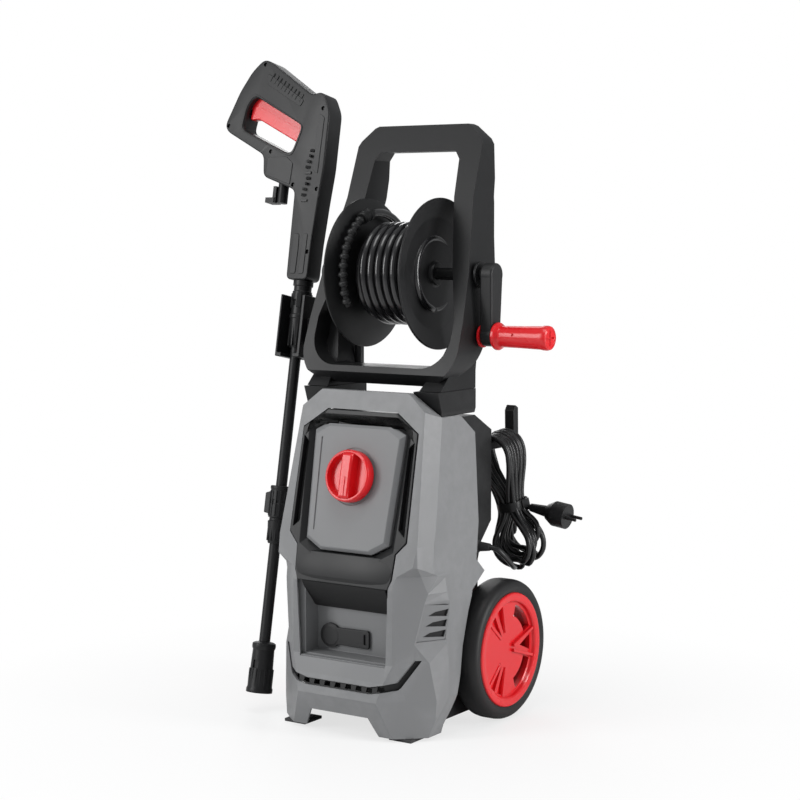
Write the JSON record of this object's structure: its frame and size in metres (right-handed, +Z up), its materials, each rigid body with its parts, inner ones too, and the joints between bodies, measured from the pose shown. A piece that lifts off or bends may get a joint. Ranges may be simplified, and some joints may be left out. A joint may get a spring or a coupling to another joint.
{
  "type": "electric pressure washer",
  "caption": "Upright wheeled pressure washer with a leaning faceted body, a frame-mounted hose reel with a crank, and a spray gun and lance held in a side cradle.",
  "frame": {"origin": "on the floor, on the machine's middle plane, between the front feet and the wheels", "axes": "+Z up, +Y towards the machine's back, +X to the viewer's right when facing its front"},
  "size_m": [0.605, 0.3399, 0.9896],
  "materials": {
    "grey_plastic": "matte, finely grained moulded plastic",
    "black_plastic": "satin black moulded plastic",
    "dark_plastic": "satin dark grey moulded plastic",
    "red_plastic": "glossy red plastic",
    "tyre": "smooth black tyre",
    "hose": "glossy black hose and cord jacket",
    "soft_rubber": "matt dark rubber",
    "steel": "plain steel",
    "aluminium": "cast aluminium",
    "brass": "turned brass",
    "clear_plastic": "milky moulded plastic"
  },
  "bodies": {
    "machine": {"front_shell": "grey_plastic", "rear_cover": "black_plastic", "base_chassis": "black_plastic", "front_bezel": "dark_plastic", "control_panel": "grey_plastic", "accessory_tray": "grey_plastic", "lower_grille": "black_plastic", "side_louvres": "black_plastic", "foot_pads": "soft_rubber", "handle_frame": "black_plastic", "frame_collars": "black_plastic", "cord_hook": "black_plastic", "lance_holder": "black_plastic", "axle": "steel", "axle_clips": "steel", "detergent_tank": "clear_plastic", "motor_housing": "steel", "pump_body": "aluminium", "pump_pistons": "steel", "pump_head": "aluminium", "water_inlet": "brass", "feed_pipe": "black_plastic", "main_switch": "black_plastic", "reel_swivel": "brass", "reel_bushes": "black_plastic", "housing_screws": "steel", "strain_relief": "soft_rubber", "cord_lead": "hose", "cord_hank": "hose", "cord_tie": "black_plastic", "mains_plug": "black_plastic"},
    "left_wheel": {"tyre_left": "tyre", "wheel_hub_left": "red_plastic"},
    "right_wheel": {"tyre_right": "tyre", "wheel_hub_right": "red_plastic"},
    "selector": {"selector_knob": "red_plastic"},
    "cap": {"detergent_cap": "soft_rubber"},
    "rotor": {"motor_rotor": "steel", "cooling_fan": "dark_plastic", "wobble_plate": "steel"},
    "reel": {"reel_drum": "black_plastic", "reel_flange_left": "black_plastic", "reel_flange_right": "black_plastic", "hose_winding": "hose", "hose_end": "black_plastic", "crank_arm": "dark_plastic", "crank_pin": "steel"},
    "grip": {"crank_grip": "red_plastic"},
    "gun": {"gun_shell_front": "dark_plastic", "gun_shell_back": "dark_plastic", "gun_valve": "brass", "gun_inlet": "black_plastic", "gun_screws": "steel"},
    "trigger": {"gun_trigger": "red_plastic"},
    "lock": {"trigger_lock": "dark_plastic"},
    "lance": {"lance_coupling": "black_plastic", "lance_tube_upper": "black_plastic", "lance_mid_coupling": "black_plastic", "lance_tube_lower": "black_plastic"},
    "nozzle": {"spray_nozzle": "black_plastic"}
  },
  "joints": [
    {"name": "left_wheel_spin", "type": "hinge", "parent": "machine", "child": "left_wheel", "pos_m": [-0.1395, 0.08, 0.104], "axis": [1, 0, 0], "continuous": true},
    {"name": "right_wheel_spin", "type": "hinge", "parent": "machine", "child": "right_wheel", "pos_m": [0.1395, 0.08, 0.104], "axis": [1, 0, 0], "continuous": true},
    {"name": "selector_turn", "type": "hinge", "parent": "machine", "child": "selector", "pos_m": [0, -0.10064, 0.371], "axis": [0, -0.977, 0.213], "range_deg": [0, 90]},
    {"name": "cap_open", "type": "hinge", "parent": "machine", "child": "cap", "pos_m": [0.022, -0.0884, 0.1325], "axis": [0, 0, 1], "range_deg": [0, 80]},
    {"name": "rotor_spin", "type": "hinge", "parent": "machine", "child": "rotor", "pos_m": [0, 0.018, 0.33], "axis": [0, 0, 1], "continuous": true},
    {"name": "reel_spin", "type": "hinge", "parent": "machine", "child": "reel", "pos_m": [0, 0.031, 0.66], "axis": [1, 0, 0], "continuous": true},
    {"name": "crank_grip_spin", "type": "hinge", "parent": "reel", "child": "grip", "pos_m": [0.21, 0.028, 0.572], "axis": [1, 0, 0], "continuous": true},
    {"name": "gun_pull", "type": "slide", "parent": "machine", "child": "gun", "axis": [0, -1, 0], "range_m": [0, 0.15]},
    {"name": "lance_twist", "type": "hinge", "parent": "gun", "child": "lance", "pos_m": [-0.178, 0.01513, 0.60337], "axis": [0, 0.1874, 0.9823], "range_deg": [0, 60]},
    {"name": "nozzle_twist", "type": "hinge", "parent": "lance", "child": "nozzle", "pos_m": [-0.178, -0.08137, 0.09749], "axis": [0, 0.1874, 0.9823], "range_deg": [0, 90]},
    {"name": "trigger_pull", "type": "hinge", "parent": "gun", "child": "trigger", "pos_m": [-0.192, 0.07003, 0.89118], "axis": [0, 0.9823, -0.1874], "range_deg": [0, 8], "stiffness_Nm_per_rad": 1.5, "springref_deg": -5.73},
    {"name": "lock_slide", "type": "slide", "parent": "gun", "child": "lock", "axis": [-0.541, -0.158, -0.826], "range_m": [0, 0.006]}
  ]
}
